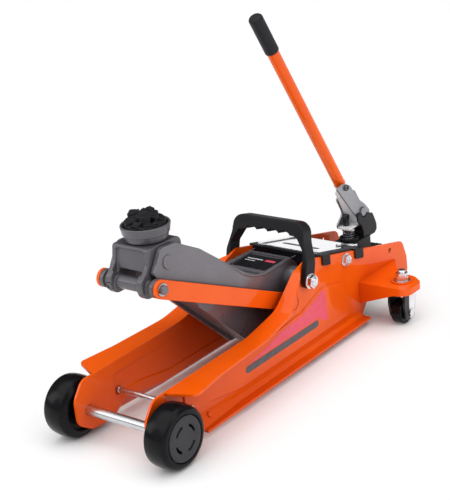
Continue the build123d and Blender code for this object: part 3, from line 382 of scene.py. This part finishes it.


# painted shade: black films standing for the shade under the far bead and inside the slot
on_cover("cover_bead_painted_shade", [(-38.8, 324.0), (-35.6, 324.0), (-35.6, 408.0), (-37.2, 409.4), (-38.8, 408.0)], 3.42, 0.12, BLACKPAINT)
on_cover("cover_slot_painted_shade", oval(-22.0, 24.0, 349.6, 4.4), 3.42, 0.12, BLACKPAINT)


# --------------------------------------------------------------- rubber pad
def make_pad():
    rnd = random.Random(7)
    cx, cy = 0.0, 74.5
    bm = bmesh.new()
    # dish that fills the saddle
    prof = [(0, 225.4), (20.8, 225.4), (23.5, 236.0), (23.4, 239.2), (21.6, 240.4), (0, 240.6)]
    seg = 48
    ring = []
    for r, z in prof:
        if r == 0:
            ring.append([bm.verts.new(P(cx, cy, z))])
        else:
            ring.append([bm.verts.new(P(cx + r * math.cos(2 * math.pi * i / seg), cy + r * math.sin(2 * math.pi * i / seg), z)) for i in range(seg)])
    for a, b in zip(ring, ring[1:]):
        for i in range(seg):
            j = (i + 1) % seg
            if len(a) == 1:
                bm.faces.new((a[0], b[j], b[i]))
            elif len(b) == 1:
                bm.faces.new((a[i], a[j], b[0]))
            else:
                bm.faces.new((a[i], a[j], b[j], b[i]))
    blocks = []
    # outer ring of lugs, then a broken middle ring, then the high centre
    for k in range(9):
        a = 40 * k + rnd.uniform(-7, 7)
        blocks.append((19.2, a, rnd.uniform(5.5, 7.5), rnd.uniform(8, 12), rnd.uniform(243.0, 246.0), rnd.uniform(-9, 9), rnd.uniform(-10, 10)))
    for k in range(6):
        a = 60 * k + 18 + rnd.uniform(-9, 9)
        blocks.append((11.5, a, rnd.uniform(8, 10), rnd.uniform(10, 14), rnd.uniform(247.5, 250.5), rnd.uniform(-12, 12), rnd.uniform(-9, 9)))
    blocks += [(3.5, 85, 13, 16, 251.8, 4, -3), (7.5, 60, 6.5, 8.5, 254.6, 3, -3), (11.0, 195, 11, 10, 252.6, -4, 5), (6.0, 280, 13, 9, 250.4, -6, 4), (11.0, 15, 8, 9, 251.6, 4, 6)]
    for r, a, w, d, top, tx, ty in blocks:
        g = bmesh.ops.create_cube(bm, size=1.0)
        h = top - 236.0
        m = Matrix.Translation(P(cx + r * math.cos(math.radians(a)), cy + r * math.sin(math.radians(a)), top - h / 2)) @ \
            Euler((math.radians(tx), math.radians(ty), math.radians(a + rnd.uniform(-12, 12)))).to_matrix().to_4x4() @ \
            Matrix.Diagonal((w * MM, d * MM, h * MM, 1))
        bmesh.ops.transform(bm, matrix=m, verts=g["verts"])
        for v in g["verts"]:
            if v.co.z > (top - h * 0.3) * MM:
                v.co.x += rnd.uniform(-0.9, 0.9) * MM
                v.co.y += rnd.uniform(-0.9, 0.9) * MM
                v.co.z += rnd.uniform(-1.2, 0.5) * MM
    o = add_mesh("pad_rubber", bm, RUBBER, "saddle_cup")
    rm = o.modifiers.new("fuse", "REMESH")
    rm.mode = "VOXEL"
    rm.voxel_size = 0.0005
    sm = o.modifiers.new("soften", "SMOOTH")
    sm.factor = 0.5
    sm.iterations = 2
    bake_mods(o)
    for v in o.data.vertices:
        if v.co.z > 0.2375:
            n = noise.noise(v.co * 260.0) * 0.0007 + noise.noise(v.co * 700.0) * 0.00025
            v.co += v.normal * n
    for p in o.data.polygons:
        p.use_smooth = True
    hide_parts("saddle_pad")
    return o


make_pad()


# ------------------------------------- cast and moulded pieces with soft edges
def soften(node, body, mat, voxel, turns):
    src = nodes[node]
    bm = bmesh.new()
    bm.from_mesh(src.data)
    bm.transform(src.matrix_world)
    bmesh.ops.remove_doubles(bm, verts=bm.verts, dist=4e-6)
    o = add_mesh(node + "_soft", bm, mat, body)
    rm = o.modifiers.new("skin", "REMESH")
    rm.mode = "VOXEL"
    rm.voxel_size = voxel * MM
    sm = o.modifiers.new("soften", "SMOOTH")
    sm.factor = 0.5
    sm.iterations = turns
    bake_mods(o)
    for p in o.data.polygons:
        p.use_smooth = True
    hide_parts(node)
    return o


soften("saddle_carrier", "carrier", CAST, 0.6, 9)
soften("carry_handle", "frame", BLACKPLASTIC, 0.7, 12)
soften("handle_yoke", "frame", CASTING, 0.7, 8)


# ------------------------------------------- bright plates on the caster forks
FORK = [(418.5, 44.5), (417.4, 30.5), (416.8, 14.0), (418.0, 9.6), (421.0, 8.0), (425.5, 8.6), (428.4, 12.0), (431.8, 29.0), (437.0, 40.0), (437.0, 44.5)]
for s, side in ((1, "left"), (-1, "right")):
    slab(f"fork_plate_{side}", FORK if s > 0 else FORK[::-1], 113.5 * s, 0.6 * s, PALE, f"caster_{side}", edge=0.2)


# ------------------------------------------------------- camera, light, floor
def camera():
    az, el, roll = (math.radians(v) for v in (40.1168, 20.4154, -6.0516))
    F = Vector((-math.sin(az) * math.cos(el), math.cos(az) * math.cos(el), -math.sin(el)))
    R = Vector((math.cos(az), math.sin(az), 0.0))
    U = R.cross(F)
    R2 = R * math.cos(roll) + U * math.sin(roll)
    U2 = -R * math.sin(roll) + U * math.cos(roll)
    m = Matrix((R2, U2, -F)).transposed().to_4x4()
    m.translation = P(889.394, -853.255, 675.406)
    cd = bpy.data.cameras.new("camera")
    cd.sensor_width = 36.0
    cd.lens = 1262.5432 / 500 * 36.0
    cd.clip_start, cd.clip_end = 0.05, 200
    c = bpy.data.objects.new("camera", cd)
    bpy.context.scene.collection.objects.link(c)
    c.matrix_world = m
    bpy.context.scene.camera = c


camera()


def area(name, loc, target, sx, sy, power, col=(1, 1, 1)):
    d = bpy.data.lights.new(name, "AREA")
    d.shape = "RECTANGLE"
    d.size, d.size_y = sx, sy
    d.energy = power
    d.color = col
    o = bpy.data.objects.new(name, d)
    bpy.context.scene.collection.objects.link(o)
    o.location = loc
    o.rotation_mode = "QUATERNION"
    o.rotation_quaternion = (Vector(target) - Vector(loc)).to_track_quat("-Z", "Y")
    return o


sd = bpy.data.lights.new("sky_soft", "SUN")
sd.energy = 1.85
sd.angle = math.radians(95)
so = bpy.data.objects.new("sky_soft", sd)
bpy.context.scene.collection.objects.link(so)
so.rotation_mode = "QUATERNION"
so.rotation_quaternion = Vector((-0.10, 0.22, -1.0)).to_track_quat("-Z", "Y")
area("left_soft", (-1.5, -1.3, 1.0), (0, 0, 0.12), 0.8, 1.0, 5)
area("right_soft", (1.9, 0.4, 0.9), (0, 0.05, 0.1), 0.7, 1.3, 5)

w = bpy.data.worlds.new("studio")
bpy.context.scene.world = w
w.use_nodes = True
t = w.node_tree
t.nodes.clear()
tc = t.nodes.new("ShaderNodeTexCoord")
dt = t.nodes.new("ShaderNodeVectorMath")
dt.operation = "DOT_PRODUCT"
t.links.new(tc.outputs["Generated"], dt.inputs[0])
dt.inputs[1].default_value = (0.50, -0.57, 0.65)
rp = t.nodes.new("ShaderNodeMapRange")
rp.interpolation_type = "SMOOTHSTEP"
rp.inputs["From Min"].default_value = -0.45
rp.inputs["From Max"].default_value = 0.65
rp.inputs["To Min"].default_value = 0.06
rp.inputs["To Max"].default_value = 0.62
t.links.new(dt.outputs["Value"], rp.inputs["Value"])
bg = t.nodes.new("ShaderNodeBackground")
bg.inputs["Color"].default_value = (1.0, 1.0, 1.0, 1)
t.links.new(rp.outputs["Result"], bg.inputs["Strength"])
wo = t.nodes.new("ShaderNodeOutputWorld")
t.links.new(bg.outputs[0], wo.inputs["Surface"])

bm = bmesh.new()
bmesh.ops.create_grid(bm, x_segments=8, y_segments=8, size=40.0)
me = bpy.data.meshes.new("floor")
bm.to_mesh(me)
bm.free()
floor = bpy.data.objects.new("floor", me)
bpy.context.scene.collection.objects.link(floor)
fm, ft, fb = new_mat("floor_pale")
fv = coords(ft)
fc = mix_col(ft, span(ft, noise_tex(ft, fv, 3, 2), 0.0, 1.0), (0.965, 0.965, 0.968), (0.955, 0.955, 0.96))
sep = ft.nodes.new("ShaderNodeSeparateXYZ")
ft.links.new(fv, sep.inputs[0])


def reach(axis, mid, half):
    a = ft.nodes.new("ShaderNodeMath")
    a.operation = "SUBTRACT"
    ft.links.new(sep.outputs[axis], a.inputs[0])
    a.inputs[1].default_value = mid
    b = ft.nodes.new("ShaderNodeMath")
    b.operation = "ABSOLUTE"
    ft.links.new(a.outputs[0], b.inputs[0])
    c = ft.nodes.new("ShaderNodeMath")
    c.operation = "SUBTRACT"
    ft.links.new(b.outputs[0], c.inputs[0])
    c.inputs[1].default_value = half
    d = ft.nodes.new("ShaderNodeMath")
    d.operation = "MAXIMUM"
    ft.links.new(c.outputs[0], d.inputs[0])
    d.inputs[1].default_value = 0.0
    e = ft.nodes.new("ShaderNodeMath")
    e.operation = "POWER"
    ft.links.new(d.outputs[0], e.inputs[0])
    e.inputs[1].default_value = 2.0
    return e.outputs[0]


# painted light: away from the jack's footprint the floor's base colour goes to black and it glows instead, so cast
# shadow and orange bounce on the floor fade with distance
add = ft.nodes.new("ShaderNodeMath")
add.operation = "ADD"
ft.links.new(reach("X", 0.0, 0.075), add.inputs[0])
ft.links.new(reach("Y", -0.045, 0.22), add.inputs[1])
root = ft.nodes.new("ShaderNodeMath")
root.operation = "SQRT"
ft.links.new(add.outputs[0], root.inputs[0])
floor_glow_fade = ft.nodes.new("ShaderNodeMapRange")
floor_glow_fade.interpolation_type = "SMOOTHSTEP"
floor_glow_fade.inputs["From Min"].default_value = 0.0
floor_glow_fade.inputs["From Max"].default_value = 0.10
floor_glow_fade.inputs["To Min"].default_value = 0.0
floor_glow_fade.inputs["To Max"].default_value = 0.72
ft.links.new(root.outputs[0], floor_glow_fade.inputs["Value"])
ft.links.new(mix_col(ft, floor_glow_fade.outputs["Result"], fc, (0.0, 0.0, 0.0)), fb.inputs["Base Color"])
fb.inputs["Emission Color"].default_value = (1.0, 1.0, 1.0, 1)
ft.links.new(floor_glow_fade.outputs["Result"], fb.inputs["Emission Strength"])
fb.inputs["Roughness"].default_value = 0.7
fb.inputs["Specular IOR Level"].default_value = 0.15
me.materials.append(fm)
floor.location = (0, 0, -0.0002)

bpy.context.scene.view_settings.view_transform = "Standard"
bpy.context.scene.view_settings.look = "None"
